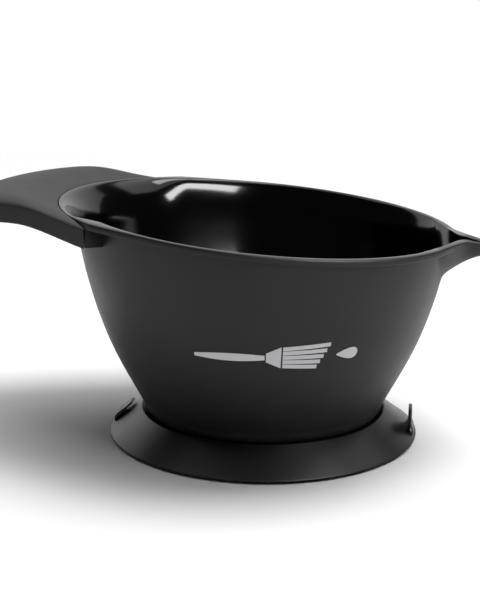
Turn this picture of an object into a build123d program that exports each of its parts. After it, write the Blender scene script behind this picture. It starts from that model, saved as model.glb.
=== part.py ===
from build123d import *
import math
import os

# Hair color bowl: a moulded bowl with a spout and a gripped handle, on a removable rubber suction base.
# Millimetres. +Z up, the spout points along +X and the handle along -X.
# The origin is the centre of the base, on the counter.

# --- Driving dimensions -----------------------------------------------------------------------------
RIM_RADIUS = 65.0          # outside of the rim lip
RIM_HEIGHT = 76.5          # rim plane over the bowl's axis
RIM_TILT = 5.0             # degrees, the rim falls towards the spout
LIP_THICK = 2.2
WALL = 2.0
FLOOR_UNDER = 7.6          # underside of the bowl's floor
FLOOR_RADIUS = 37.0        # flat part of that underside

SPIGOT_RADIUS = 11.0       # stub under the floor that plugs into the base
SPIGOT_LENGTH = 2.9
BASE_GAP = 0.3             # clearance between bowl and base, all round

SPOUT_WALL = 1.9           # lip and keel of the spout

HANDLE_REACH = 110.0       # handle tip from the bowl's axis
HANDLE_DEPTH = 8.0         # crown to the bottom of the skirt
SEAM_RADIUS = 69.0         # where the grip starts, about the rim's axis
GRIP_THICK = 2.2
GRIP_GAP = 0.05            # between the tongue and the grip moulded over it
TONGUE_PLATE = 3.4
TONGUE_WALL = 2.4
RIB_THICK = 1.8
RIB_PITCH = 15.0
LANDING_DEPTH = 13.0       # how far down the inside starts to flare towards the handle
LANDING_HALF = 46.0        # degrees each side of the handle's middle
LANDING_RELIEF = 0.7       # how far inside the wall the flare starts
SKIRT_HALF = 50.5          # degrees each side, where the deep skirt ends against the bowl

CUP_RADIUS = 53.5          # suction base at the counter
CUP_EDGE = 1.2             # thickness of its thin edge
FOOT_INNER = 49.0          # inside of the flat ring that meets the counter
NECK_RADIUS = 42.6         # top of the cone, where it hugs the bowl
NECK_HEIGHT = 9.4
NECK_WALL = 1.1
CUP_HOLLOW = 3.4           # height of the suction hollow
HOLLOW_RADIUS = 40.0       # where the hollow reaches that height

TAB_HEIGHT = 6.4           # pull tab over its hinge line
TAB_HALF = 5.5
TAB_THICK = 1.2
TAB_RADIUS = 51.4          # hinge line from the base's axis
TAB_TURN = 6.0             # degrees, the base sits turned a little against the spout line
TAB_FOLD = 50.0            # degrees, the handle-side tab leans in from upright
HINGE_LIFT = 1.2           # hinge line over the cone

# --- Derived values ---------------------------------------------------------------------------------
RUN_OUT = 30.0             # how far a cutting body stands clear of what it cuts
SIDE = 400.0               # side of the block that stands for everything over the rim
TILT_COS = math.cos(math.radians(RIM_TILT))
TILT_SIN = math.sin(math.radians(RIM_TILT))
RIM_PLANE = Plane(origin=(0, 0, RIM_HEIGHT), x_dir=(TILT_COS, 0, -TILT_SIN), z_dir=(TILT_SIN, 0, TILT_COS))

# Outside of the wall as (radius, height), from just over the floor's corner to over the rim.
WALL_LINE = [(41.4, 11.5), (45.9, 20.0), (51.0, 30.0), (58.3, 50.0), (62.4, 68.0), (64.6, 88.0)]

# Spout sections as (distance from the axis, half width, depth, rise of its lips over the rim plane).
SPOUT_LINE = [(58.0, 20.5, 15.0, 0.0), (63.0, 16.5, 10.3, 0.2), (68.0, 7.6, 6.9, 0.8), (72.0, 4.4, 5.0, 0.5),
              (74.5, 2.9, 4.0, 0.2)]

# Handle seen from above as (reach from the axis, half width). It leaves the rim along the rim's tangent.
LEAVE_ANGLE = math.radians(69.0)
HANDLE_START = (RIM_RADIUS * math.cos(LEAVE_ANGLE), RIM_RADIUS * math.sin(LEAVE_ANGLE))
HANDLE_LINE = [HANDLE_START, (49.0, 50.8), (62.0, 45.2), (76.0, 41.3), (90.0, 34.0), (102.0, 22.5),
               (HANDLE_REACH, 0.0)]

# Top of the handle as (distance from the rim's axis, height over the rim plane): it rises from the seam to a
# hump for the thumb and droops to the tip.
CROWN_LINE = [(56.0, -3.2), (SEAM_RADIUS, -0.4), (75.0, 1.1), (82.0, 2.3), (89.0, 1.4), (96.0, -0.6),
              (103.0, -4.2), (114.0, -12.5)]

CONE_SLOPE = (NECK_HEIGHT - CUP_EDGE) / (CUP_RADIUS - NECK_RADIUS)
HINGE_HEIGHT = CUP_EDGE + (CUP_RADIUS - TAB_RADIUS) * CONE_SLOPE + HINGE_LIFT


def ring(radius, inner, low, high):
    """A plain ring about Z between two heights."""
    body = Pos(0, 0, (low + high) / 2) * Cylinder(radius, high - low)
    return body - Pos(0, 0, (low + high) / 2) * Cylinder(inner, high - low)


def wall_solid(inset):
    """The bowl as a solid of revolution, with its surface moved inwards by inset."""
    base = FLOOR_UNDER + inset
    line = [(radius - inset, height) for radius, height in WALL_LINE]
    side = Spline(*line)
    corner = Spline((FLOOR_RADIUS, base), line[0], tangents=[(1, 0), side % 0])
    top = line[-1][1]
    close = Polyline(line[-1], (0, top), (0, base), (FLOOR_RADIUS, base))
    return revolve(Plane.XZ * make_face([corner, side, close]), Axis.Z)


def above_rim():
    """Everything over the tilted rim plane."""
    return RIM_PLANE * Pos(0, 0, SIDE / 2) * Box(SIDE, SIDE, SIDE)


def rim_lip():
    """The lip as a rounded disc under the rim plane; the bowl's inside is cut out of it later."""
    disc = Pos(0, 0, -LIP_THICK / 2) * Cylinder(RIM_RADIUS, LIP_THICK)
    return RIM_PLANE * fillet(disc.edges().filter_by(GeomType.CIRCLE), LIP_THICK * 0.4)


def lip_flange():
    """The lip where it widens into the handle, as far as the seam."""
    plate = RIM_PLANE * Pos(0, 0, -LIP_THICK / 2) * Cylinder(SEAM_RADIUS, LIP_THICK)
    return plate & handle_plan(0)


def spout_keel(x, half, depth, rise):
    """The curve under the spout across X, from lip to lip, and the plane it lies in."""
    lip = RIM_HEIGHT - x * TILT_SIN / TILT_COS + rise
    plane = Plane(origin=(x, 0, lip), x_dir=(0, 1, 0), z_dir=(1, 0, 0))
    pull = half * 0.35
    reach = depth * 4 / 3
    return plane, Bezier((-half, 0), (-pull, -reach), (pull, -reach), (half, 0))


def spout_body():
    """The beak from inside the wall to its tip, solid."""
    sections = []
    for x, half, depth, rise in SPOUT_LINE:
        plane, keel = spout_keel(x, half, depth, rise)
        sections.append(plane * make_face([keel, Line((half, 0), (-half, 0))]))
    return loft(sections)


def spout_channel():
    """The channel inside the beak, open at the top and at the tip."""
    x, half, depth, rise = SPOUT_LINE[-1]
    sections = []
    for x, half, depth, rise in SPOUT_LINE + [(x + SPOUT_WALL, half, depth, rise)]:
        inner = half - SPOUT_WALL
        plane, keel = spout_keel(x, inner, depth - SPOUT_WALL, rise)
        open_top = Polyline((inner, 0), (inner, RUN_OUT), (-inner, RUN_OUT), (-inner, 0))
        sections.append(plane * make_face([keel, open_top]))
    return loft(sections)


def handle_plan(inset):
    """The handle's outline from above, moved inwards by inset, as a tall prism."""
    reach_scale = (HANDLE_REACH - inset) / HANDLE_REACH
    points = [(-reach * reach_scale, max(half - inset, 0.0)) for reach, half in HANDLE_LINE]
    leave = (-math.sin(LEAVE_ANGLE), -math.cos(LEAVE_ANGLE))
    upper = Spline(*points, tangents=[leave, (0, -1)])
    lower = Spline(*[(x, -y) for x, y in points], tangents=[(leave[0], -leave[1]), (0, 1)])
    start_x, start_y = points[0]
    back = Polyline((start_x, -start_y), (0, -start_y / 2), (0, start_y / 2), (start_x, start_y))
    face = make_face([upper, lower, back])
    return extrude(face, RIM_HEIGHT + RUN_OUT)


def handle_slab(inset, drop, depth):
    """The handle body: its plan, between the crown lowered by drop and the same surface depth below."""
    upper = Spline(*[(radius, height - drop) for radius, height in CROWN_LINE])
    lower = Pos(0, -depth) * upper
    section = make_face([upper, lower, Line(upper @ 0, lower @ 0), Line(upper @ 1, lower @ 1)])
    across = Plane(origin=RIM_PLANE.origin, x_dir=RIM_PLANE.x_dir, z_dir=(0, -1, 0))
    dish = revolve(across * section, Axis(RIM_PLANE.origin, RIM_PLANE.z_dir))
    return dish & handle_plan(inset)


def seam_post(gap):
    """The round post that parts the bowl's own moulding from the grip."""
    return RIM_PLANE * Cylinder(SEAM_RADIUS + gap, 4 * RUN_OUT)


def landing():
    """What is cut away so that the bowl's inside flares out to the seam, on the handle's side."""
    low = (RIM_RADIUS - 2 * WALL - LANDING_RELIEF, -LANDING_DEPTH)
    high = (SEAM_RADIUS + 1.0, -0.2)
    flare = Spline(low, high, tangents=[(0.12, 1), (1, 0.15)])
    close = Polyline(high, (high[0], RUN_OUT), (low[0] - RUN_OUT, RUN_OUT), (low[0] - RUN_OUT, low[1]), low)
    across = Plane(origin=RIM_PLANE.origin, x_dir=RIM_PLANE.x_dir, z_dir=(0, -1, 0))
    face = across * make_face([flare, close])
    axis = Axis(RIM_PLANE.origin, RIM_PLANE.z_dir)
    start = face.rotate(axis, 180.0 - LANDING_HALF)
    return revolve(start, axis, 2 * LANDING_HALF)


def handle_sector():
    """A wedge from the axis over the handle's side; the deep skirt ends at its two faces."""
    angle = math.radians(SKIRT_HALF)
    far = 2 * HANDLE_REACH
    wedge = Polyline((0, 0), (-far * math.cos(angle), far * math.sin(angle)), (-far, far * math.sin(angle)),
                     (-far, -far * math.sin(angle)), (-far * math.cos(angle), -far * math.sin(angle)), (0, 0))
    return extrude(make_face(wedge), RIM_HEIGHT + RUN_OUT)


def tongue():
    """The handle's core under the grip: a plate with a turned-down edge and ribs."""
    core_inset = GRIP_THICK + GRIP_GAP
    core = handle_slab(core_inset, core_inset, HANDLE_DEPTH - core_inset)
    hollow_inset = core_inset + TONGUE_WALL
    hollow_drop = core_inset + TONGUE_PLATE
    hollow = handle_slab(hollow_inset, hollow_drop, HANDLE_DEPTH) - seam_post(TONGUE_WALL)
    for row in (-1, 0, 1):
        rib = Pos(-HANDLE_REACH / 2, row * RIB_PITCH, RIM_HEIGHT) * Box(HANDLE_REACH, RIB_THICK, 2 * RUN_OUT)
        hollow = hollow - rib
    return core - hollow


def spigot():
    """The stub that plugs into the base, with a bead at its end."""
    low = FLOOR_UNDER - SPIGOT_LENGTH
    stub = ring(SPIGOT_RADIUS, SPIGOT_RADIUS - WALL, low, FLOOR_UNDER + WALL / 2)
    bead = ring(SPIGOT_RADIUS + 0.5, SPIGOT_RADIUS - WALL, low, low + 1.0)
    return stub + bead


def bowl_shell():
    """The bowl's one moulding: wall, floor, lip, spout, landing and tongue."""
    handle = handle_slab(0, 0, HANDLE_DEPTH) & seam_post(0) & handle_sector()
    body = wall_solid(0) - above_rim()
    body = body + rim_lip() + lip_flange()
    body = body + spout_body()
    body = body + handle
    body = body + tongue()
    body = body - wall_solid(WALL)
    body = body - landing()
    body = body - spout_channel()
    return body + spigot()


def handle_grip():
    """The soft cover: the outside of the handle beyond the seam, less the room for the tongue."""
    outside = handle_slab(0, 0, HANDLE_DEPTH) - seam_post(GRIP_GAP)
    return outside - handle_slab(GRIP_THICK, GRIP_THICK, 2 * HANDLE_DEPTH)


def suction_base():
    """The rubber cup: a thin-edged cone with a flat foot ring, a hollow beneath and a seat on top."""
    seat = FLOOR_UNDER - BASE_GAP
    socket_radius = SPIGOT_RADIUS + 0.5 + BASE_GAP
    socket_floor = FLOOR_UNDER - SPIGOT_LENGTH - BASE_GAP
    inner_neck = NECK_RADIUS - NECK_WALL
    outside = Polyline((FOOT_INNER, 0), (CUP_RADIUS, 0), (CUP_RADIUS, CUP_EDGE), (NECK_RADIUS, NECK_HEIGHT),
                       (inner_neck, NECK_HEIGHT))
    hug = Spline((inner_neck, NECK_HEIGHT), (FLOOR_RADIUS, seat), tangents=[(-0.5, -1), (-1, 0)])
    top = Polyline((FLOOR_RADIUS, seat), (socket_radius, seat), (socket_radius, socket_floor), (0, socket_floor),
                   (0, CUP_HOLLOW), (HOLLOW_RADIUS, CUP_HOLLOW))
    under = Spline((HOLLOW_RADIUS, CUP_HOLLOW), (FOOT_INNER, 0), tangents=[(1, 0), (1, -0.9)])
    return revolve(Plane.XZ * make_face([outside, hug, top, under]), Axis.Z)


def pull_tab(azimuth, fold):
    """A thin rubber tab that stands on the cone, tipped inwards by fold about its hinge line."""
    blade = Pos(0, 0, TAB_HEIGHT / 2) * Box(TAB_THICK, 2 * TAB_HALF, TAB_HEIGHT)
    corners = blade.edges().filter_by(Axis.X).group_by(Axis.Z)[-1]
    blade = fillet(corners, TAB_HALF * 0.6)
    root = Rot(90, 0, 0) * Cylinder(TAB_THICK / 2, 2 * TAB_HALF)
    tab = Rot(0, -fold, 0) * (blade + root)
    return Rot(0, 0, azimuth) * Pos(TAB_RADIUS, 0, HINGE_HEIGHT) * tab


def main():
    parts = {
        "bowl_shell": bowl_shell(),
        "handle_grip": handle_grip(),
        "suction_base": suction_base(),
        "pull_tab_spout": pull_tab(TAB_TURN, 0),
        "pull_tab_handle": pull_tab(TAB_TURN + 180, TAB_FOLD),
    }
    os.makedirs("parts", exist_ok=True)
    for name, shape in parts.items():
        export_step(shape, f"parts/{name}.step")


main()
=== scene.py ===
import math

import bpy
import numpy as np
from mathutils import Matrix, Vector


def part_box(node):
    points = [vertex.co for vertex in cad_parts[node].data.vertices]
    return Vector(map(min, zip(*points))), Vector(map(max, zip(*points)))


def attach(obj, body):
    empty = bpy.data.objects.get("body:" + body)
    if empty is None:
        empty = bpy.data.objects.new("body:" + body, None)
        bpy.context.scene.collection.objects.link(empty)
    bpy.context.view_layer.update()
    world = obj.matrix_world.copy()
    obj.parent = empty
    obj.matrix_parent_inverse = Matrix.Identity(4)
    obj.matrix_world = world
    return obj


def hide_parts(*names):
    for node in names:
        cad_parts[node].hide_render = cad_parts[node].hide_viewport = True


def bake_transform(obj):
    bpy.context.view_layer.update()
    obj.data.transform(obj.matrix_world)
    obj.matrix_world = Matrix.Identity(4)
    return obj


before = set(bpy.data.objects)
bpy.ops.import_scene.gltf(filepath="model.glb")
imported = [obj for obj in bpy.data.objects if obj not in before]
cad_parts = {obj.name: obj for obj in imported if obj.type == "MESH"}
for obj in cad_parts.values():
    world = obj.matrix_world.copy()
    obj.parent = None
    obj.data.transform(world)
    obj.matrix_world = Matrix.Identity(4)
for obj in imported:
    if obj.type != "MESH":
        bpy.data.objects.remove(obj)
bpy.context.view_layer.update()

MM = 0.001

# Hair color bowl. Working units are millimetres in the CAD's own frame (+Z up, spout +X, handle -X);
# meshes are written in metres. The CAD nodes give the overall sizes, the names below the rest.

# --- Sizes from the frame ---------------------------------------------------------------------------
shell_low, shell_high = (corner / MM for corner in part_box("bowl_shell"))
grip_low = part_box("handle_grip")[0] / MM
base_low, base_high = (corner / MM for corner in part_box("suction_base"))
RIM_RADIUS = (shell_high.y - shell_low.y) / 2
SPOUT_TIP = shell_high.x
HANDLE_TIP = -grip_low.x
CUP_RADIUS = (base_high.x - base_low.x) / 2
NECK_HEIGHT = base_high.z

# --- Driving dimensions -----------------------------------------------------------------------------
RIM_HEIGHT = 76.5
RIM_SLOPE = math.tan(math.radians(5.0))
LIP_DEPTH = 2.2
LIP_ROUND = 0.5             # height of the rounding under the lip
LIP_DRAW = 0.35             # how far that rounding draws the lip in
WALL = 2.0
FLOOR_UNDER = 7.6
FLOOR_RADIUS = 37.0
WALL_START = 11.5           # height at which the wall's spline takes over from the rounded corner
INNER_CORNER = 15.0         # height at which the inside starts to round towards the floor
INNER_ROUND = 7.0           # how far in from the wall that rounding reaches
UPPER = 16.0                # depth under the rim of the finely divided part of the wall
RIM_MIDDLE = 62.0           # radius at which the height of the rim plane is taken for the wall
UPPER_ROWS = (0.0, 0.06, 0.2, 0.42, 0.75, 1.2, 1.65, 1.95, 2.12, 2.2, 2.4, 2.75, 3.2, 3.7, 4.2, 4.7, 5.2, 5.8,
              6.4, 7.0, 7.5, 7.8, 7.95, 8.0, 8.15, 8.6, 9.3, 10.2, 11.2, 12.4, 13.5, 14.6, UPPER)
LOWER_ROWS = 26
EDGE_ROUND = 0.6
MOUTH_ROUND = 1.9           # how far the inside opens out under the lip
MOUTH_DEPTH = 9.0
THIN_EDGE = 0.9             # least thickness at the rim

SPOUT_SIDE = 24.0           # degrees, the spout stays inside this angle
SPOUT_ROUND = 1.9           # rounding of the spout's tip, seen from above
SPOUT_FLOOR = 1.9           # thickness under the channel
NOTCH_DEPTH = 1.9
SLICE_STEP = 0.05

SEAM_RADIUS = 69.0          # grip seam, about the bowl's axis
SEAM_GAP = 0.14             # half of the groove at the seam
SEAM_DROP = 0.4             # seam under the rim plane
SKIRT_HALF = 48.9           # degrees from the handle's middle, where the deep skirt ends
SKIRT_DEPTH = 8.0
FLARE_DEPTH = 13.0          # how far down the inside starts to flare towards the handle
FLARE_FULL = 36.0           # degrees, full flare inside this angle
FLARE_NONE = 50.0           # degrees, no flare outside this angle
LEAVE_ANGLE = math.radians(69.0)

BORDER_WIDTH = 6.5          # rounded border along the handle's edge
BORDER_DROP = 2.4
GRIP_THICK = 2.2
RIB_THICK = 1.8
RIB_PITCH = 15.0
HANDLE_COLUMNS = 161
RIB_COLUMNS = 24

NECK_RADIUS = 42.6
CUP_EDGE = 1.2
FOOT_INNER = 49.0
SOCKET_RADIUS = 11.8        # the socket for the bowl's spigot
SOCKET_FLOOR = 4.4
HOLLOW_TOP = 3.4            # the hollow under the cup, flat out to HOLLOW_FLAT
HOLLOW_FLAT = 38.0
TAB_RADIUS = 51.4
TAB_HEIGHT = 6.4
TAB_HALF = 5.5
TAB_THICK = 1.2
TAB_CORNER = 3.3
TAB_TURN = 6.0              # degrees, azimuth of the tab on the spout's side
TAB_FOLD = 50.0             # degrees, how far the other tab leans inwards
TAB_PRESS = 4.0             # degrees, the folded tab leans in this much more than its CAD solid
TAB_SETTLE = 0.4            # how much thinner the folded tab is, and how much closer to the cone
TAB_RING = 28
HINGE_HEIGHT = 3.98
TABS = (                    # name, CAD node, body, azimuth and fold in degrees
    ("tab_spout_side", "pull_tab_spout", "tab_spout", TAB_TURN, 0.0),
    ("tab_handle_side", "pull_tab_handle", "tab_handle", TAB_TURN + 180, TAB_FOLD),
)

PRINT_AZIMUTH = -73.5
PRINT_HEIGHT = 42.0
PRINT_LENGTH = 52.0
PRINT_THICK = 0.06
PRINT_SUNK = 0.05
SHAFT_LENGTH = 22.0         # the brush from its left end: shaft, ferrule, bristles, then a drop
FERRULE = (22.4, 27.0)
BRISTLES = (27.5, 38.5)
BRISTLE_PITCH = 1.48
BRISTLE_HALF = 0.67
DROP_LENGTH = 7.5

# --- Studio, in metres and watts --------------------------------------------------------------------
STUDIO_DIM = 0.05           # brightness of the surroundings in reflections
FLOOR_HALF = 4.0
FLOOR_FADE = (0.4, 0.9)     # distances from the object over which the floor turns plain white
SOFTBOXES = (               # name, place, what it points at, size, power, whether it gives diffuse light
    ("key", (0.24, 0.12, 1.1), (0, 0, 0.0), (0.5, 0.5), 8, True),
    ("overhead", (0.1, 0.4, 1.6), (0, 0.1, 0.0), (3.0, 2.4), 36, True),
    ("backdrop", (-0.3, 2.4, 0.75), (0, 0, 0.1), (4.0, 1.5), 14, False),
    ("left", (-0.9, 0.6, 0.5), (0, 0, 0.05), (0.5, 0.8), 1.5, False),
    ("gleam", (0.623, -0.427, 0.46), (-0.034, 0.05, 0.073), (0.6, 0.2), 11, False),
)
CAMERA_PLACE = Vector((88.1, -414.4, 150.25)) * MM
CAMERA_AIM = Vector((-0.2203, 0.9459, -0.2382))
CAMERA_ROLL = math.radians(0.23)
CAMERA_LENS = 75.97


def through(xs, ys):
    """A natural cubic spline through the points, as a function of an array; straight beyond the ends."""
    xs = np.array(xs, float)
    ys = np.array(ys, float)
    count = len(xs)
    step = np.diff(xs)
    slope = np.diff(ys) / step
    matrix = np.eye(count)
    right = np.zeros(count)
    for i in range(1, count - 1):
        matrix[i, i - 1:i + 2] = step[i - 1], 2 * (step[i - 1] + step[i]), step[i]
        right[i] = 6 * (slope[i] - slope[i - 1])
    bend = np.linalg.solve(matrix, right)
    first = slope[0] - step[0] * bend[1] / 6
    last = slope[-1] + step[-1] * bend[-2] / 6

    def value(x):
        x = np.asarray(x, float)
        i = np.clip(np.searchsorted(xs, x) - 1, 0, count - 2)
        t = x - xs[i]
        c = slope[i] - step[i] * (2 * bend[i] + bend[i + 1]) / 6
        y = ys[i] + t * (c + t * (bend[i] / 2 + t * (bend[i + 1] - bend[i]) / (6 * step[i])))
        y = np.where(x < xs[0], ys[0] + first * (x - xs[0]), y)
        return np.where(x > xs[-1], ys[-1] + last * (x - xs[-1]), y)

    return value


def smooth_step(low, high, x):
    """0 below low, 1 above high, and a smooth S-curve between them."""
    t = np.clip((np.asarray(x, float) - low) / (high - low), 0, 1)
    return t * t * (3 - 2 * t)


def soft_max(a, b, width):
    """The larger of two values, rounded off where they are within width of each other."""
    gap = np.clip(1 - np.abs(a - b) / width, 0, None)
    return np.maximum(a, b) + gap * gap * width / 4


# --- Curves of the object ---------------------------------------------------------------------------
wall_radius = through((11.5, 20.0, 30.0, 50.0, 68.0, 88.0), (41.4, 45.9, 51.0, 58.3, 62.4, 64.6))
spout_half = through((58.0, 63.0, 68.0, 72.0, 74.5), (20.5, 16.5, 7.6, 4.4, 2.9))
spout_depth = through((58.0, 63.0, 68.0, 72.0, 74.5), (15.0, 10.3, 6.9, 5.0, 4.0))
channel_half = through((58.0, 60.0, 62.1, 64.2, 65.9, 69.0, 74.5), (20.0, 17.0, 12.6, 7.0, 3.9, 2.3, 1.7))
spout_rise = through((58.0, 63.0, 68.0, 72.0, 74.5), (0.0, 0.2, 0.8, 0.5, 0.2))
crown = through((56.0, 69.0, 75.0, 82.0, 89.0, 96.0, 103.0, 114.0),
                (-3.2, -0.4, 1.1, 2.3, 1.4, -0.6, -4.2, -12.5))


def handle_outline(count):
    """The handle's edge from above, from the rim on the back side round the tip to the rim in front."""
    start = (RIM_RADIUS * math.cos(LEAVE_ANGLE), RIM_RADIUS * math.sin(LEAVE_ANGLE))
    reach = [start[0], 49.0, 62.0, 76.0, 90.0, 102.0, HANDLE_TIP]
    half = [start[1], 50.8, 45.2, 41.3, 34.0, 22.5, 0.0]
    reach = reach + reach[-2::-1]
    half = half + [-value for value in half[-2::-1]]
    chord = np.concatenate([[0], np.cumsum(np.hypot(np.diff(reach), np.diff(half)))])
    place = np.linspace(0, chord[-1], count)
    return np.stack([-through(chord, reach)(place), through(chord, half)(place)], -1)


OUTLINE = handle_outline(1201)
OUTLINE_ANGLE = np.degrees(np.arctan2(OUTLINE[:, 1], -OUTLINE[:, 0]))
OUTLINE_RADIUS = np.hypot(OUTLINE[:, 0], OUTLINE[:, 1])


def outline_radius(off_handle):
    """Radius of the handle's edge at an angle, in degrees, from the handle's middle."""
    order = np.argsort(OUTLINE_ANGLE)
    radius = np.interp(off_handle, OUTLINE_ANGLE[order], OUTLINE_RADIUS[order])
    leave = math.degrees(LEAVE_ANGLE)
    return np.where(np.abs(off_handle) < leave, radius, RIM_RADIUS)


def rim_height(x):
    """Height of the tilted rim plane."""
    return RIM_HEIGHT - RIM_SLOPE * x


def signed(angle):
    """The same angle in degrees, between -180 and 180."""
    return (angle + 180) % 360 - 180


def flare_share(off_handle):
    """How much of the flare towards the handle there is at an angle from the handle's middle, 0 to 1."""
    return 1 - float(smooth_step(FLARE_FULL, FLARE_NONE, abs(off_handle)))


# --- Mesh helpers -----------------------------------------------------------------------------------
def make_piece(name, verts, faces, body, slot, sharp=38.0):
    """A smooth-shaded mesh object from millimetre points, with edges over the angle kept sharp."""
    mesh = bpy.data.meshes.new(name)
    mesh.from_pydata([tuple(p) for p in np.asarray(verts, float) * MM], [], [tuple(f) for f in faces])
    mesh.validate()
    mesh.shade_smooth()
    piece = bpy.data.objects.new(name, mesh)
    bpy.context.scene.collection.objects.link(piece)
    mark_sharp(mesh, sharp)
    if body:
        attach(piece, body)
    return piece


def mark_sharp(mesh, angle):
    """Keeps the edges between faces that meet at more than the angle sharp."""
    normals = np.zeros(len(mesh.polygons) * 3)
    mesh.polygons.foreach_get("normal", normals)
    normals = normals.reshape(-1, 3)
    limit = math.cos(math.radians(angle))
    owner = {}
    for poly in mesh.polygons:
        for key in poly.edge_keys:
            owner.setdefault(key, []).append(poly.index)
    for edge in mesh.edges:
        pair = owner.get(edge.key, [])
        edge.use_edge_sharp = len(pair) == 2 and float(normals[pair[0]] @ normals[pair[1]]) < limit


def grid_faces(rows, columns, wrap):
    """Quads of a grid of rows by columns, whose points are numbered row by row."""
    faces = []
    last = columns if wrap else columns - 1
    for row in range(rows - 1):
        for column in range(last):
            right = (column + 1) % columns
            low = row * columns
            high = low + columns
            faces.append((low + column, low + right, high + right, high + column))
    return faces


# --- Bowl -------------------------------------------------------------------------------------------
def spout_slice(turn, depth, thick):
    """How far the spout reaches from the axis at an angle, in radians, and a depth under its lips.

    A thickness of zero gives the outside, and any other the channel with that much plastic under it.
    """
    radius = np.arange(56.0, SPOUT_TIP + 0.6, SLICE_STEP)
    x = radius * math.cos(turn)
    y = abs(radius * math.sin(turn))
    tip_from = SPOUT_TIP - SPOUT_ROUND
    cap = np.sqrt(np.clip(1 - (np.clip(x - tip_from, 0, None) / (SPOUT_TIP - tip_from)) ** 2, 0, 1))
    half = channel_half(x) if thick else spout_half(x) * cap
    deep = spout_depth(x) - thick
    room = half * np.sqrt(np.clip(1 - depth / deep, 0, None)) - y
    inside = np.nonzero((room > 0) & (deep > depth))[0]
    if not len(inside):
        return 0.0
    i = inside[-1]
    if i + 1 < len(radius) and room[i + 1] < room[i]:
        return min(radius[i] + SLICE_STEP * room[i] / (room[i] - room[i + 1]), SPOUT_TIP)
    return min(radius[i], SPOUT_TIP)


def flare_radius(off_handle, depth, inner):
    """Radius of the bowl's inside where it opens out towards the handle."""
    edge = min(SEAM_RADIUS, float(outline_radius(off_handle))) - SEAM_GAP
    run = np.clip((FLARE_DEPTH - depth) / FLARE_DEPTH, 0, 1)
    open_radius = edge - (edge - inner) * math.sqrt(1 - run * run)
    return inner + flare_share(off_handle) * max(open_radius - inner, 0)


def edge_fall(depth):
    """How far a rounded edge has drawn in at a small depth under it."""
    run = np.clip(1 - depth / EDGE_ROUND, 0, 1)
    return EDGE_ROUND * (1 - math.sqrt(1 - run * run))


def mouth_fall(depth):
    """How far the inside opens out under the lip, as a long soft rounding."""
    run = np.clip(1 - depth / MOUTH_DEPTH, 0, 1)
    return MOUTH_ROUND * (1 - math.sqrt(1 - run * run))


def bowl_column(angle):
    """Outer and inner radii of the upper wall at an azimuth in degrees, with their depths under the rim."""
    turn = math.radians(angle)
    off = signed(angle)
    off_handle = signed(180 - angle)
    near_spout = abs(off) < SPOUT_SIDE
    near_handle = abs(off_handle) < math.degrees(LEAVE_ANGLE)
    tip_y = abs(SPOUT_TIP * math.sin(turn)) if near_spout else 99.0
    notch = NOTCH_DEPTH * (1 - float(smooth_step(0.3, 3.0, tip_y)))
    share = flare_share(off_handle)
    lip = min(float(outline_radius(off_handle)), SEAM_RADIUS - SEAM_GAP)
    beside_spout = 1 - float(smooth_step(12, 30, abs(off)))
    outer, inner, depths = [], [], []
    for row in UPPER_ROWS:
        depth = notch + row * (UPPER - notch) / UPPER
        depths.append(depth)
        wall = float(wall_radius(rim_height(RIM_MIDDLE * math.cos(turn)) - depth))
        out = wall
        if depth < LIP_DEPTH:
            under = np.clip((depth - LIP_DEPTH + LIP_ROUND) / LIP_ROUND, 0, 1)
            out = max(out, lip - LIP_DRAW * under * under)
        if abs(off_handle) < SKIRT_HALF and depth < SKIRT_DEPTH:
            out = max(out, lip)
        into = wall - WALL
        if near_spout:
            out = float(soft_max(out, spout_slice(turn, depth, 0.0), 1.2))
            into = float(soft_max(into, spout_slice(turn, depth, SPOUT_FLOOR), 2.5))
        if near_handle:
            into = max(into, float(flare_radius(off_handle, depth, wall - WALL)))
        round_in = mouth_fall(row) * (1 - share) * (1 - beside_spout)
        into = min(into + round_in, out - THIN_EDGE + THIN_EDGE * share)
        outer.append(out - edge_fall(row) * (1 - share))
        inner.append(into)
    return outer, inner, depths


def bowl_angles():
    """Azimuths of the bowl's columns: every degree, closer at the spout and at the skirt's ends."""
    parts = [np.arange(0, 360, 1.0), np.arange(-20, 20.1, 0.5), np.arange(-5, 5.01, 0.2)]
    for side in (-1, 1):
        parts.append(180 + side * np.arange(44.0, 62.0, 0.5))
        parts.append(180 + side * (SKIRT_HALF + np.array([-0.06, 0.06])))
    angles = np.concatenate(parts) % 360
    return np.unique(np.round(angles, 3))


def underside():
    """Profile under the bowl: the floor's middle, the spigot with its bead, and out to the rounded corner."""
    profile = [(0.5, FLOOR_UNDER), (8.9, FLOOR_UNDER), (9.0, 7.4), (9.0, 4.75), (9.3, 4.7), (11.2, 4.7),
               (11.5, 4.9), (11.5, 5.6), (11.0, 5.9), (11.0, 7.4), (11.2, FLOOR_UNDER), (24.0, FLOOR_UNDER),
               (FLOOR_RADIUS, FLOOR_UNDER)]
    corner = wall_radius(WALL_START) - FLOOR_RADIUS
    for share in (0.25, 0.5, 0.75):
        bend = share * math.pi / 2
        rise = WALL_START - FLOOR_UNDER
        profile.append((FLOOR_RADIUS + corner * math.sin(bend), FLOOR_UNDER + rise * (1 - math.cos(bend))))
    return profile


def inside_floor(reach):
    """Profile inside the bowl from the foot of the wall round to the middle of the floor."""
    floor_top = FLOOR_UNDER + WALL
    profile = []
    for share in (0.2, 0.4, 0.6, 0.8, 1.0):
        bend = share * math.pi / 2
        height = INNER_CORNER - (INNER_CORNER - floor_top) * math.sin(bend)
        profile.append((reach - INNER_ROUND * (1 - math.cos(bend)), height))
    profile.append((20.0, floor_top))
    profile.append((0.5, floor_top))
    return profile


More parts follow.
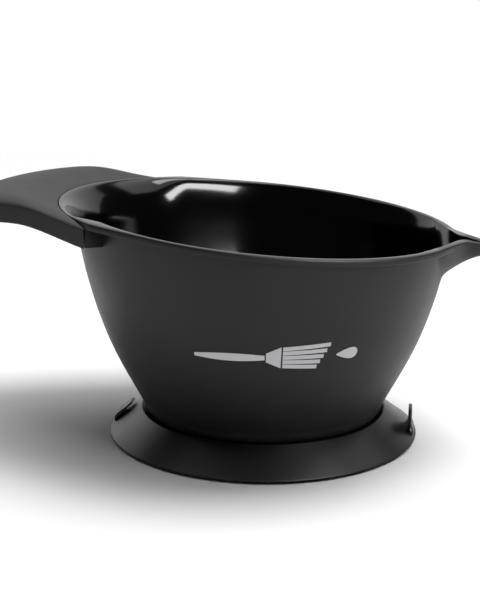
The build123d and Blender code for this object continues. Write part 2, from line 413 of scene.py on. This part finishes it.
def bowl_profile(angle):
    """The bowl's whole section at an azimuth in degrees, and the row at which its inside starts."""
    cos = math.cos(math.radians(angle))
    outer, inner, depths = bowl_column(angle)
    profile = underside()
    top_of_lower = rim_height(RIM_MIDDLE * cos) - UPPER
    for row in range(LOWER_ROWS):
        height = WALL_START + (top_of_lower - WALL_START) * row / LOWER_ROWS
        profile.append((float(wall_radius(height)), height))
    for out, depth in zip(outer[::-1], depths[::-1]):
        profile.append((out, rim_height(out * cos) - depth + lift_at(out, angle, depth)))
    inside_from = len(profile)
    for into, depth in zip(inner, depths):
        profile.append((into, rim_height(into * cos) - depth + lift_at(into, angle, depth)))
    for row in range(1, LOWER_ROWS + 1):
        height = top_of_lower + (INNER_CORNER - top_of_lower) * row / LOWER_ROWS
        profile.append((float(wall_radius(height)) - WALL, height))
    return profile + inside_floor(profile[-1][0]), inside_from


def bowl_mesh():
    """Points and faces of the bowl, and the number of the first point of its glossy inside and lip."""
    columns = []
    for angle in bowl_angles():
        profile, inside_from = bowl_profile(angle)
        cos = math.cos(math.radians(angle))
        sin = math.sin(math.radians(angle))
        columns.append([(radius * cos, radius * sin, height) for radius, height in profile])
    grid = np.array(columns).transpose(1, 0, 2)
    rows, count = grid.shape[:2]
    faces = grid_faces(rows, count, True)
    faces.append(tuple(range(count))[::-1])
    faces.append(tuple(range((rows - 1) * count, rows * count)))
    return grid.reshape(-1, 3), faces, (inside_from - 1) * count


def lift_at(radius, angle, depth):
    """How far the lip stands over the rim plane, at the spout and at the seam, fading out with depth."""
    off = abs(signed(angle))
    lift = 0.0
    if off < SPOUT_SIDE:
        rise = float(spout_rise(radius * math.cos(math.radians(angle))))
        lift = max(rise, 0.0) * (1 - float(smooth_step(10, 22, off)))
    lift -= SEAM_DROP * flare_share(signed(180 - angle))
    return lift * (1 - float(smooth_step(0.0, 10.0, depth)))


# --- Handle -----------------------------------------------------------------------------------------
def border_drop(points):
    """How far the rounded border has fallen at each point, from its distance to the handle's edge."""
    away = points[:, None, :] - OUTLINE[None, :, :]
    gap = np.hypot(away[..., 0], away[..., 1]).min(axis=1)
    run = np.clip(1 - gap / BORDER_WIDTH, 0, 1)
    return BORDER_DROP * (1 - np.sqrt(1 - run * run))


def handle_columns(seam_radius, inset):
    """Matching points on the seam and on the handle's edge moved in by inset, with its inward normals."""
    tangent = np.gradient(OUTLINE, axis=0)
    tangent /= np.linalg.norm(tangent, axis=1)[:, None]
    normal = np.stack([tangent[:, 1], -tangent[:, 0]], -1)
    if normal[len(OUTLINE) // 2, 0] < 0:
        normal = -normal
    edge = OUTLINE + inset * normal
    outside = np.nonzero(np.hypot(edge[:, 0], edge[:, 1]) > seam_radius + 0.35)[0]
    keep = outside[edge[outside, 0] < -40]
    edge = edge[keep]
    normal = normal[keep]
    run = np.concatenate([[0], np.cumsum(np.hypot(*np.diff(edge, axis=0).T))])
    place = (1 - np.cos(np.linspace(0, math.pi, HANDLE_COLUMNS))) / 2
    place = run[-1] * (0.35 * place + 0.65 * np.linspace(0, 1, HANDLE_COLUMNS))
    edge = np.stack([np.interp(place, run, edge[:, i]) for i in (0, 1)], -1)
    normal = np.stack([np.interp(place, run, normal[:, i]) for i in (0, 1)], -1)
    normal /= np.linalg.norm(normal, axis=1)[:, None]
    first = math.atan2(edge[0, 1], -edge[0, 0])
    last = math.atan2(edge[-1, 1], -edge[-1, 0])
    angle = first + (last - first) * place / run[-1]
    seam = seam_radius * np.stack([-np.cos(angle), np.sin(angle)], -1)
    return seam, edge, normal


def handle_cover(seam_radius, inset, fall, wall, plate, rounded):
    """Rings of a turned-down plate along the handle, from the seam over the top, the edge and back beneath.

    The plate starts fall under the crown and is plate thick on top and wall thick round the edge. Where
    rounded is 1 it has the rounded border, and where it is 0 it has none.
    """
    seam, edge, normal = handle_columns(seam_radius, inset)
    room = np.clip(np.hypot(edge[:, 0], edge[:, 1]) - seam_radius, 0, None)
    scale = np.clip(0.62 * room / BORDER_WIDTH, 0, 1)[:, None]
    rings = []

    def add_ring(plan, drop, fade=1.0):
        radius = np.hypot(plan[:, 0], plan[:, 1])
        height = rim_height(plan[:, 0]) + crown(radius) - drop - fade * rounded * border_drop(plan)
        rings.append(np.concatenate([plan, height[:, None]], axis=1))

    inner = edge + normal * BORDER_WIDTH * scale
    add_ring(seam, fall + 0.45)
    for share in np.concatenate([[0.004, 0.012], np.linspace(0.04, 0.96, 24)]):
        add_ring(seam + (inner - seam) * share, fall + (0.12 if share < 0.006 else 0.0))
    for gap in (1.0, 0.85, 0.7, 0.56, 0.43, 0.31, 0.21, 0.13, 0.07, 0.03, 0.008):
        add_ring(edge + normal * BORDER_WIDTH * scale * gap, fall)
    for drop in (BORDER_DROP * rounded + fall + 0.25, 3.6, 4.6, 5.6, 6.6, 7.2, SKIRT_DEPTH - 0.5):
        add_ring(edge, max(drop, fall + 0.1), 0.0)
    for bend in (30, 60, 90):
        gap = 0.5 * (1 - math.cos(math.radians(bend)))
        deep = SKIRT_DEPTH - 0.5 + 0.5 * math.sin(math.radians(bend))
        add_ring(edge + normal * gap * np.minimum(scale * 2, 1), deep, 0.0)
    lining = edge + normal * wall * np.minimum(scale * 2, 1)
    add_ring(lining, SKIRT_DEPTH, 0.0)
    add_ring(lining, SKIRT_DEPTH - 0.4, 0.0)
    add_ring(lining, fall + plate + 1.2, 0.0)
    for share in (0.0, 0.2, 0.4, 0.6, 0.8, 1.0):
        add_ring(lining + (seam - lining) * share, fall + plate, 0.0)
    return np.array(rings)


def closed_cover(rings):
    """Points and faces of a cover: the rings joined round, with both ends closed."""
    rows, count = rings.shape[:2]
    faces = grid_faces(rows, count, False)
    for column in range(count - 1):
        faces.append(((rows - 1) * count + column, (rows - 1) * count + column + 1, column + 1, column))
    faces.append([row * count for row in range(rows)])
    faces.append([row * count + count - 1 for row in range(rows)][::-1])
    return rings.reshape(-1, 3), faces


def rib_mesh(across):
    """A rib under the core, along the handle at a distance across it, following the crown."""
    reach = SEAM_RADIUS
    while np.interp(across, [0, 22.5, 34.0, 41.3], [HANDLE_TIP, 102.0, 90.0, 76.0]) > reach + 6.0:
        reach += 0.5
    verts = []
    for x in np.linspace(-SEAM_RADIUS + 4.0, -reach, RIB_COLUMNS):
        radius = math.hypot(x, across)
        top = rim_height(x) + float(crown(radius))
        for side, drop in ((-1, 4.5), (-1, 7.5), (1, 7.5), (1, 4.5)):
            verts.append((x, across + side * RIB_THICK / 2, top - drop))
    faces = [(0, 1, 2, 3)]
    for column in range(RIB_COLUMNS - 1):
        low = 4 * column
        for side in range(4):
            beside = (side + 1) % 4
            faces.append((low + side, low + 4 + side, low + 4 + beside, low + beside))
    last = 4 * (RIB_COLUMNS - 1)
    faces.append((last + 3, last + 2, last + 1, last))
    return verts, faces


# --- Suction cup and tabs ---------------------------------------------------------------------------
def revolved(profile, count, sway):
    """Points and faces of a closed profile turned round the axis, and moved up by sway at each point."""
    verts = []
    for step in range(count):
        turn = 2 * math.pi * step / count
        for radius, height in profile:
            lifted = height + sway(turn, radius, height)
            verts.append((radius * math.cos(turn), radius * math.sin(turn), lifted))
    size = len(profile)
    faces = []
    for step in range(count):
        low = step * size
        high = (step + 1) % count * size
        for i in range(size):
            beside = (i + 1) % size
            faces.append((low + i, high + i, high + beside, low + beside))
    return verts, faces


def arc(center, radius, start, end, steps):
    """Points of an arc in the profile plane, from one angle to another in degrees."""
    turns = np.radians(np.linspace(start, end, steps))
    return [(center[0] + radius * math.cos(turn), center[1] + radius * math.sin(turn)) for turn in turns]


def cup_profile():
    """Section of the cup: foot ring, thin edge, faintly hollow cone, rolled neck, seat, socket and hollow."""
    inner_neck = NECK_RADIUS - 1.1
    profile = [(FOOT_INNER, 0.0), (FOOT_INNER + 0.8, 0.0), (CUP_RADIUS - 1.2, 0.68)]
    profile += arc((CUP_RADIUS - 0.3, CUP_EDGE - 0.12), 0.3, -60, 53, 6)
    low = (CUP_RADIUS - 0.12, CUP_EDGE + 0.12)
    high = (NECK_RADIUS + 0.2, NECK_HEIGHT - 0.2)
    for share in (0.02, 0.06, 0.1, 0.2, 0.3, 0.4, 0.5, 0.6, 0.7, 0.8, 0.9, 0.96):
        sag = 0.1 * math.sin(math.pi * share)
        profile.append((low[0] + (high[0] - low[0]) * share, low[1] + (high[1] - low[1]) * share - sag))
    profile += arc((NECK_RADIUS - 0.3, NECK_HEIGHT - 0.5), 0.5, 40, 160, 6)
    seat = FLOOR_UNDER - 0.3
    for share in (0.2, 0.5, 0.8):
        bend = share * math.pi / 2
        profile.append((inner_neck - (inner_neck - FLOOR_RADIUS) * math.sin(bend),
                        seat + (NECK_HEIGHT - 0.6 - seat) * (1 - math.sin(bend))))
    profile += [(FLOOR_RADIUS, seat), (24.0, seat), (SOCKET_RADIUS, seat), (SOCKET_RADIUS, SOCKET_FLOOR),
                (0.4, SOCKET_FLOOR), (0.4, HOLLOW_TOP), (20.0, HOLLOW_TOP), (HOLLOW_FLAT, HOLLOW_TOP)]
    for share in (0.2, 0.4, 0.6, 0.8):
        bend = share * math.pi / 2
        reach = HOLLOW_FLAT + (FOOT_INNER - HOLLOW_FLAT) * math.sin(bend)
        profile.append((reach, HOLLOW_TOP * math.cos(bend)))
    return profile


def cup_sway(turn, radius, height):
    """The soft neck edge stands a little unevenly."""
    if radius < 40.5 or height < 4.0:
        return 0.0
    fade = 1 - float(smooth_step(NECK_RADIUS, 47.0, radius))
    return fade * (0.07 * math.sin(3 * turn + 0.6) + 0.05 * math.sin(7 * turn + 2.1) - 0.12)


def tab_mesh(azimuth, fold):
    """A rubber pull tab: rounded corners, thicker at its root, turned inwards by fold about its hinge line.

    A folded tab lies on the cone, so it is thinner and a little closer to it.
    """
    settle = TAB_SETTLE if fold else 0.0
    rows = [-1.9, -1.3, -0.8, -0.3, 0.3, 1.0, 1.8, 2.8, 3.8, 4.6, 5.2, 5.7, 6.1, 6.3, 6.4]
    lean = math.radians(-fold)
    turn = math.radians(azimuth)
    verts = []
    for height in rows:
        corner = max(0.0, height - (TAB_HEIGHT - TAB_CORNER))
        draw = TAB_CORNER - math.sqrt(max(TAB_CORNER ** 2 - corner ** 2, 0.0))
        half = TAB_HALF - min(draw, TAB_HALF - 2.0) + 0.9 * math.exp(-max(height + 0.6, 0) / 0.8)
        flare = math.exp(-max(height + 0.5, 0) / 0.7)
        thick = (TAB_THICK - settle) / 2 + (0.75 - settle) * flare - 0.12 * (height > 6.2)
        for step in range(TAB_RING):
            around = 2 * math.pi * step / TAB_RING
            cos, sin = math.cos(around), math.sin(around)
            side = half * math.copysign(abs(sin) ** 0.35, sin)
            out = thick * math.copysign(abs(cos) ** 0.55, cos)
            out += settle * float(smooth_step(-0.3, 1.8, height))
            x = out * math.cos(lean) + height * math.sin(lean)
            z = height * math.cos(lean) - out * math.sin(lean)
            if height < 0:
                x, z = out, height
            x += TAB_RADIUS
            east = x * math.cos(turn) - side * math.sin(turn)
            north = x * math.sin(turn) + side * math.cos(turn)
            verts.append((east, north, z + HINGE_HEIGHT))
    faces = grid_faces(len(rows), TAB_RING, True)
    faces.append(tuple(range(TAB_RING))[::-1])
    faces.append(tuple(range((len(rows) - 1) * TAB_RING, len(rows) * TAB_RING)))
    return verts, faces


# --- Print on the wall ------------------------------------------------------------------------------
def wrap(along, up, off):
    """A point off the outside of the wall, from distances along and up from the middle of the print."""
    height = PRINT_HEIGHT + up
    radius = float(wall_radius(height)) + off
    turn = math.radians(PRINT_AZIMUTH) + along / float(wall_radius(PRINT_HEIGHT))
    return radius * math.cos(turn), radius * math.sin(turn), height


def print_shape(start, end, middle, half, columns):
    """A closed thin shape on the wall along a stretch, from its middle line and half its height."""
    verts = []
    for along in np.linspace(start, end, columns):
        low = middle(along) - half(along)
        high = middle(along) + half(along)
        for share in (0.0, 0.25, 0.5, 0.75, 1.0):
            up = low + (high - low) * share
            verts.append(wrap(along, up, PRINT_THICK))
            verts.append(wrap(along, up, -PRINT_SUNK))
    faces = []
    for column in range(columns - 1):
        a = column * 10
        for row in range(0, 8, 2):
            faces.append((a + row, a + row + 10, a + row + 12, a + row + 2))
            faces.append((a + row + 3, a + row + 13, a + row + 11, a + row + 1))
        faces.append((a, a + 1, a + 11, a + 10))
        faces.append((a + 8, a + 18, a + 19, a + 9))
    for a, order in ((0, 1), ((columns - 1) * 10, -1)):
        for row in range(0, 8, 2):
            faces.append((a + row, a + row + 2, a + row + 3, a + row + 1)[::order])
    return verts, faces


def print_mesh():
    """A tint brush lying on its side, with a drop beyond its bristles."""
    left = -PRINT_LENGTH / 2
    right = PRINT_LENGTH / 2

    def level(along):
        return 0.0

    def shaft_half(along):
        share = (along - left) / SHAFT_LENGTH
        return 0.55 + 0.75 * math.sin(math.pi * min(max(share, 0.0), 1.0) * 0.9)

    def ferrule_half(along):
        return 1.5 + 0.47 * (along - left - FERRULE[0])

    def bristle_half(along):
        return BRISTLE_HALF

    def drop_half(along):
        share = (along - (right - DROP_LENGTH)) / DROP_LENGTH
        return 2.7 * math.sqrt(max(share * (1 - share), 0.0)) * 2 * (0.25 + 0.75 * share) + 0.02

    def bristle_middle(row):
        """The middle line of one bristle, which fans out a little towards its end."""
        return lambda along: (row - 2) * BRISTLE_PITCH * (1 + 0.02 * (along - left - BRISTLES[0]))

    shapes = [(left, left + SHAFT_LENGTH, level, shaft_half, 40),
              (left + FERRULE[0], left + FERRULE[1], level, ferrule_half, 12)]
    for row in range(5):
        end = left + BRISTLES[1] + 0.9 * row
        shapes.append((left + BRISTLES[0], end, bristle_middle(row), bristle_half, 18))
    shapes.append((right - DROP_LENGTH, right, level, drop_half, 30))
    verts, faces = [], []
    for shape in shapes:
        part_verts, part_faces = print_shape(*shape)
        faces += [tuple(i + len(verts) for i in face) for face in part_faces]
        verts += part_verts
    return verts, faces


# --- Materials --------------------------------------------------------------------------------------
def new_material(name, color, roughness, specular):
    """A plain material, with its node tree and its shader."""
    material = bpy.data.materials.new(name)
    material.use_nodes = True
    shader = material.node_tree.nodes["Principled BSDF"]
    shader.inputs["Base Color"].default_value = (*color, 1)
    shader.inputs["Roughness"].default_value = roughness
    shader.inputs["Specular IOR Level"].default_value = specular
    return material, material.node_tree, shader


def add_grain(tree, shader, scale, distance, detail):
    """A fine bump from noise in object coordinates."""
    place = tree.nodes.new("ShaderNodeTexCoord")
    noise = tree.nodes.new("ShaderNodeTexNoise")
    noise.inputs["Scale"].default_value = scale
    noise.inputs["Detail"].default_value = detail
    bump = tree.nodes.new("ShaderNodeBump")
    bump.inputs["Strength"].default_value = 1.0
    bump.inputs["Distance"].default_value = distance
    tree.links.new(place.outputs["Object"], noise.inputs["Vector"])
    tree.links.new(noise.outputs["Fac"], bump.inputs["Height"])
    tree.links.new(bump.outputs["Normal"], shader.inputs["Normal"])


def vary(tree, socket, scale, low, high):
    """Slow changes of a socket's value over the surface, as moulding and handling leave them."""
    place = tree.nodes.new("ShaderNodeTexCoord")
    noise = tree.nodes.new("ShaderNodeTexNoise")
    noise.inputs["Scale"].default_value = scale
    noise.inputs["Detail"].default_value = 3.0
    span = tree.nodes.new("ShaderNodeMapRange")
    span.inputs["From Min"].default_value = 0.3
    span.inputs["From Max"].default_value = 0.7
    span.inputs["To Min"].default_value = low
    span.inputs["To Max"].default_value = high
    tree.links.new(place.outputs["Object"], noise.inputs["Vector"])
    tree.links.new(noise.outputs["Fac"], span.inputs["Value"])
    tree.links.new(span.outputs["Result"], socket)


def satin_plastic():
    """The bowl's outside: black, with a finely eroded mould finish."""
    material, tree, shader = new_material("satin_black", (0.0055, 0.0052, 0.0052), 0.5, 0.32)
    add_grain(tree, shader, 2400, 0.000012, 2.0)
    vary(tree, shader.inputs["Roughness"], 45, 0.43, 0.51)
    return material


def gloss_plastic():
    """The bowl's inside and lip: polished black."""
    material, tree, shader = new_material("gloss_black", (0.0008, 0.0006, 0.0007), 0.12, 0.3)
    add_grain(tree, shader, 320, 0.000006, 1.0)
    vary(tree, shader.inputs["Roughness"], 60, 0.11, 0.14)
    return material


def grip_rubber():
    """The soft-touch cover: matt dark grey with a very fine grain and slight wear."""
    material, tree, shader = new_material("soft_grip", (0.016, 0.0155, 0.015), 0.6, 0.36)
    add_grain(tree, shader, 3200, 0.00003, 3.0)
    vary(tree, shader.inputs["Roughness"], 160, 0.58, 0.62)
    return material


def cup_rubber():
    """The suction cup and its tabs: smooth black rubber with a satin shine."""
    material, tree, shader = new_material("cup_rubber", (0.004, 0.0038, 0.0038), 0.34, 0.28)
    add_grain(tree, shader, 900, 0.00001, 2.0)
    vary(tree, shader.inputs["Roughness"], 50, 0.31, 0.37)
    return material


def print_ink():
    """Pale grey pad-printed ink, a little uneven where it met the grain."""
    material, tree, shader = new_material("print_ink", (0.6, 0.6, 0.62), 0.6, 0.3)
    add_grain(tree, shader, 2600, 0.00001, 2.0)
    vary(tree, shader.inputs["Roughness"], 300, 0.5, 0.7)
    return material


# --- Build ------------------------------------------------------------------------------------------
SATIN = satin_plastic()
GLOSS = gloss_plastic()
GRIP = grip_rubber()
RUBBER = cup_rubber()
INK = print_ink()

verts, faces, glossy_from = bowl_mesh()
bowl = make_piece("bowl", verts, faces, "bowl", "bowl_plastic")
bowl.data.materials.append(SATIN)
bowl.data.materials.append(GLOSS)
for polygon in bowl.data.polygons:
    if min(polygon.vertices) >= glossy_from:
        polygon.material_index = 1

core_inset = GRIP_THICK + 0.05
rings = handle_cover(SEAM_RADIUS - 0.6, core_inset, core_inset, 2.4, 3.4, 0.0)
core = make_piece("handle_core", *closed_cover(rings), "bowl", "bowl_plastic")
core.data.materials.append(SATIN)
for name, row in (("core_rib_front", -1), ("core_rib_middle", 0), ("core_rib_back", 1)):
    rib = make_piece(name, *rib_mesh(row * RIB_PITCH), "bowl", "bowl_plastic")
    rib.data.materials.append(SATIN)
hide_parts("bowl_shell")

rings = handle_cover(SEAM_RADIUS + SEAM_GAP, 0.0, 0.0, GRIP_THICK, GRIP_THICK, 1.0)
grip = make_piece("grip", *closed_cover(rings), "bowl", "grip_rubber")
grip.data.materials.append(GRIP)
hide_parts("handle_grip")

ink = make_piece("wall_print", *print_mesh(), "bowl", "bowl_plastic")
ink.data.materials.append(INK)

cup = make_piece("suction_cup", *revolved(cup_profile(), 240, cup_sway), "base", "base_rubber")
cup.data.materials.append(RUBBER)
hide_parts("suction_base")

for name, node, body, azimuth, fold in TABS:
    tab = make_piece(name, *tab_mesh(azimuth, fold + TAB_PRESS if fold else 0.0), None, "base_rubber")
    tab.data.materials.append(RUBBER)
    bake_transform(tab)
    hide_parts(node)

# --- Stage ------------------------------------------------------------------------------------------
def make_floor():
    """A matt white floor, which the camera sees fading into the white surroundings."""
    mesh = bpy.data.meshes.new("floor")
    corners = [(x * FLOOR_HALF, y * FLOOR_HALF, 0) for x, y in ((-1, -1), (1, -1), (1, 1), (-1, 1))]
    mesh.from_pydata(corners, [], [(0, 1, 2, 3)])
    plane = bpy.data.objects.new("floor", mesh)
    bpy.context.scene.collection.objects.link(plane)
    material, tree, shader = new_material("floor_white", (0.93, 0.93, 0.93), 0.9, 0.0)
    place = tree.nodes.new("ShaderNodeTexCoord")
    reach = tree.nodes.new("ShaderNodeVectorMath")
    reach.operation = "LENGTH"
    fade = tree.nodes.new("ShaderNodeMapRange")
    fade.interpolation_type = "SMOOTHSTEP"
    fade.inputs["From Min"].default_value = FLOOR_FADE[0]
    fade.inputs["From Max"].default_value = FLOOR_FADE[1]
    path = tree.nodes.new("ShaderNodeLightPath")
    seen = tree.nodes.new("ShaderNodeMath")
    seen.operation = "MULTIPLY"
    glow = tree.nodes.new("ShaderNodeEmission")
    glow.inputs["Color"].default_value = (1, 1, 1, 1)
    blend = tree.nodes.new("ShaderNodeMixShader")
    tree.links.new(place.outputs["Object"], reach.inputs[0])
    tree.links.new(reach.outputs["Value"], fade.inputs["Value"])
    tree.links.new(fade.outputs["Result"], seen.inputs[0])
    tree.links.new(path.outputs["Is Camera Ray"], seen.inputs[1])
    tree.links.new(seen.outputs["Value"], blend.inputs["Fac"])
    tree.links.new(shader.outputs["BSDF"], blend.inputs[1])
    tree.links.new(glow.outputs["Emission"], blend.inputs[2])
    tree.links.new(blend.outputs["Shader"], tree.nodes["Material Output"].inputs["Surface"])
    mesh.materials.append(material)


def make_world():
    """White surroundings as the camera sees them, and a dim studio in the reflections."""
    world = bpy.data.worlds.new("studio")
    bpy.context.scene.world = world
    world.use_nodes = True
    tree = world.node_tree
    background = tree.nodes["Background"]
    background.inputs["Color"].default_value = (1, 1, 1, 1)
    path = tree.nodes.new("ShaderNodeLightPath")
    span = tree.nodes.new("ShaderNodeMapRange")
    span.inputs["To Min"].default_value = STUDIO_DIM
    span.inputs["To Max"].default_value = 1.0
    tree.links.new(path.outputs["Is Camera Ray"], span.inputs["Value"])
    tree.links.new(span.outputs["Result"], background.inputs["Strength"])


def softbox(name, place, aim, size, power, diffuse):
    """A rectangular lamp. Without diffuse light it shows only in reflections."""
    data = bpy.data.lights.new(name, "AREA")
    data.shape = "RECTANGLE"
    data.size, data.size_y = size
    data.energy = power
    light = bpy.data.objects.new(name, data)
    light.location = place
    light.rotation_euler = (Vector(aim) - Vector(place)).to_track_quat("-Z", "Y").to_euler()
    light.visible_diffuse = diffuse
    bpy.context.scene.collection.objects.link(light)


def make_camera():
    """The camera of the main view, looking down at the bowl from the front, a little towards the spout."""
    data = bpy.data.cameras.new("camera")
    data.sensor_width = 36.0
    data.lens = CAMERA_LENS
    data.clip_start = 0.01
    camera = bpy.data.objects.new("camera", data)
    camera.location = CAMERA_PLACE
    facing = CAMERA_AIM.to_track_quat("-Z", "Y").to_matrix().to_4x4() @ Matrix.Rotation(CAMERA_ROLL, 4, "Z")
    camera.rotation_euler = facing.to_euler()
    bpy.context.scene.collection.objects.link(camera)
    bpy.context.scene.camera = camera


make_floor()
make_world()
for box in SOFTBOXES:
    softbox(*box)
make_camera()
bpy.context.scene.view_settings.view_transform = "Standard"
